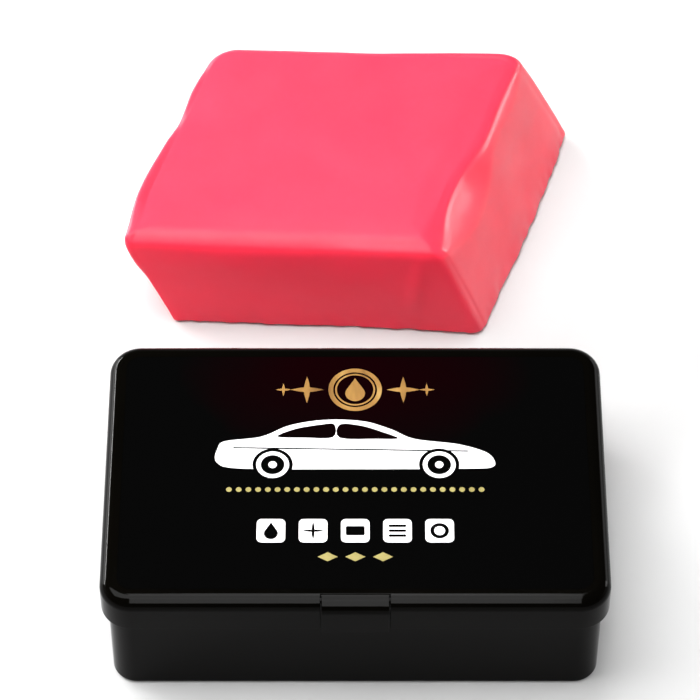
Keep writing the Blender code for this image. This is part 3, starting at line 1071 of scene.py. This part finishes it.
def brass_ink():
    ink = Surface("ink_brass", Metallic=0.4, Roughness=0.38, **LABEL_FILM)
    ink.drive("Base Color", ink.ramp(ink.noise(300.0), LABEL_BRASSES))
    return ink.material


def label_materials():
    """The inks, in the order of INKS, all under one glossy film."""
    return [black_ink(), white_ink(), gold_ink(), brass_ink()]


def pin_material():
    surface = Surface("pin_steel", Metallic=1.0)
    drawn = surface.noise(900.0, 3.0, 0.6, stretch=(0.05, 1.0, 1.0))
    surface.drive("Base Color", surface.ramp(drawn, STEEL_GREYS))
    surface.drive("Roughness", surface.remap(drawn, 0.2, 0.8, 0.22, 0.40))
    return surface.material


def clay_material():
    """Waxy putty: saturated pink, a soft glow under its skin, very fine grit, and glossy pressed ends whose
    colour carries painted shade.
    """
    surface = Surface(
        "clay_pink",
        Subsurface_Weight=0.30,
        Subsurface_Radius=(0.9, 0.22, 0.25),
        Subsurface_Scale=2.0 * MM,
        IOR=1.46,
        Specular_IOR_Level=0.22,
        Coat_Roughness=0.16,
    )
    # The two ends were pressed smooth, so they are glossier; their colour is also painted a shade darker,
    # which is painted shade on the faces that look sideways.
    facing = surface.nodes.new("ShaderNodeSeparateXYZ")
    surface.links.new(surface.nodes["Texture Coordinate"].outputs["Normal"], facing.inputs["Vector"])
    pressed = surface.remap(surface.math("ABSOLUTE", facing.outputs["X"], 0.0), 0.40, 0.75, 0.0, 1.0)
    smear = surface.remap(surface.noise(160.0, 3.0, 0.5, stretch=(1.0, 0.35, 1.0)), 0.35, 0.60, 0.42, 0.56)
    surface.drive("Coat Weight", surface.math("MULTIPLY", pressed, smear))

    cloud = surface.remap(surface.noise(55.0, 4.0), 0.25, 0.75, 0.5, 1.0)
    # Painted shade: the sideways-facing ends are pulled down the ramp, a shade darker than the top and
    # front.
    tone_with_painted_end_shade = surface.math("SUBTRACT", cloud, surface.math("MULTIPLY", pressed, 0.5))
    surface.drive("Base Color", surface.ramp(tone_with_painted_end_shade, CLAY_PINKS_AND_END_SHADE))
    surface.drive("Roughness", surface.remap(surface.noise(130.0, 4.0), 0.25, 0.75, 0.36, 0.50))

    grit = surface.noise(2600.0, 2.0)
    skin = surface.noise(300.0, 4.0)
    height = surface.math("ADD", surface.math("MULTIPLY", grit, 0.25), skin)
    surface.bump(height, 0.05 * MM, 0.30)
    return surface.material


# Pieces

def add_pieces():
    shell = shell_material()
    steel = pin_material()
    finish_piece(build_base(), [shell], "case_base", "case")
    finish_piece(build_lid(), [shell], "case_lid", "lid")
    finish_piece(build_label(), label_materials(), "lid_label", "lid")
    for side, station in (("left", -STATION_X), ("right", STATION_X)):
        finish_piece(build_pin(f"pin_{side}", station), [steel], f"hinge_pin_{side}", "case")
    finish_piece(build_clay(), [clay_material()], "clay_bar", "clay")

    tab = build_tab()
    tab.data.materials.append(shell)
    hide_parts("latch_tab")
    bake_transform(tab)


# Stage

FLOOR_HALF = 1.1
CAMERA_ELEVATION = math.radians(54.37)
CAMERA_PITCH = math.radians(51.75)
CAMERA_DISTANCE = 0.700
CAMERA_SIDE = -1.0 * MM
CASE_MIDDLE_Z = 14.6 * MM
LENS = 185.0
SENSOR = 36.0

# Points on the case that the lights are aimed at
FRONT_EDGE = (0.0, -0.03, 0.03)
LEFT_EDGE = (-0.046, 0.0, 0.028)
RIGHT_EDGE = (0.046, 0.0, 0.028)
CLAY_RIGHT_END = (0.02, 0.08, 0.02)
STRIP_DISTANCE = 2.0


def add_floor():
    bm = bmesh.new()
    bmesh.ops.create_grid(bm, x_segments=4, y_segments=4, size=FLOOR_HALF)
    floor = make_object("floor", bm)
    surface = Surface("floor_pale", Roughness=0.6, Specular_IOR_Level=0.2)
    surface.drive("Base Color", surface.ramp(surface.noise(6.0, 2.0), FLOOR_GREYS))
    floor.data.materials.append(surface.material)


def add_camera():
    data = bpy.data.cameras.new("camera")
    data.lens = LENS
    data.sensor_width = SENSOR
    data.clip_start = 0.01
    camera = bpy.data.objects.new("camera", data)
    camera.location = (
        CAMERA_SIDE,
        -CAMERA_DISTANCE * math.cos(CAMERA_ELEVATION),
        CAMERA_DISTANCE * math.sin(CAMERA_ELEVATION) + CASE_MIDDLE_Z,
    )
    camera.rotation_euler = (math.radians(90.0) - CAMERA_PITCH, 0.0, 0.0)
    bpy.context.scene.collection.objects.link(camera)
    bpy.context.scene.camera = camera


def add_softbox(name, place, target, size, power):
    data = bpy.data.lights.new(name, "AREA")
    data.shape = "RECTANGLE"
    data.size, data.size_y = size
    data.energy = power
    light = bpy.data.objects.new(name, data)
    light.location = place
    light.rotation_euler = (Vector(target) - Vector(place)).to_track_quat("-Z", "Y").to_euler()
    light.visible_camera = False
    bpy.context.scene.collection.objects.link(light)


def add_world():
    """Pale low at the back, dark overhead and to the front, so that black gloss stays black."""
    world = bpy.data.worlds.new("studio")
    bpy.context.scene.world = world
    world.use_nodes = True
    nodes = world.node_tree.nodes
    links = world.node_tree.links
    separate = nodes.new("ShaderNodeSeparateXYZ")
    links.new(nodes.new("ShaderNodeTexCoord").outputs["Generated"], separate.inputs["Vector"])

    def fade(axis, start, end, from_value, to_value):
        node = nodes.new("ShaderNodeMapRange")
        node.interpolation_type = "SMOOTHSTEP"
        for label, number in zip(RANGE_INPUTS, (start, end, from_value, to_value)):
            node.inputs[label].default_value = number
        links.new(separate.outputs[axis], node.inputs["Value"])
        return node.outputs["Result"]

    def combined(operation, first, second):
        node = nodes.new("ShaderNodeMath")
        node.operation = operation
        links.new(first, node.inputs[0])
        links.new(second, node.inputs[1])
        return node.outputs["Value"]

    dark_overhead = fade("Z", 0.28, 0.40, 1.0, 0.03)
    dark_in_front = fade("Y", -0.5, 0.2, 0.10, 0.7)
    # Below the horizon, past the floor's edge, the background is as white as the floor.
    white_below = fade("Z", -0.01, 0.01, 1.0, 0.0)
    strength = combined("MAXIMUM", combined("MULTIPLY", dark_overhead, dark_in_front), white_below)
    links.new(strength, nodes["Background"].inputs["Strength"])
    nodes["Background"].inputs["Color"].default_value = (1.0, 1.0, 1.0, 1.0)


def over_case(degrees):
    """A place far over the case, at an angle measured up from the back."""
    angle = math.radians(degrees)
    return (0.0, STRIP_DISTANCE * math.cos(angle), STRIP_DISTANCE * math.sin(angle))


def add_lights():
    """Each softbox's place, what it is aimed at, its size in metres and its power in watts."""
    add_softbox("overhead", (-0.28, 0.02, 0.80), (-0.28, 0.02, 0.0), (0.80, 0.50), 13.2)
    add_softbox("front_strip", over_case(124.5), FRONT_EDGE, (0.40, 1.50), 20.0)
    add_softbox("back_strip", over_case(66.0), FRONT_EDGE, (0.40, 0.42), 5.8)
    add_softbox("right_back", (1.22, 0.52, 0.38), CLAY_RIGHT_END, (0.32, 0.40), 3.9)
    add_softbox("left_line", (-1.15, 1.06, 0.57), LEFT_EDGE, (1.20, 0.044), 34.0)
    add_softbox("left_low", (-1.19, 1.04, 0.24), LEFT_EDGE, (1.00, 0.48), 12.0)
    add_softbox("right_low", (1.19, 1.04, 0.24), RIGHT_EDGE, (1.00, 0.48), 4.0)


add_pieces()
add_floor()
add_camera()
add_world()
add_lights()
bpy.context.scene.view_settings.view_transform = "Standard"
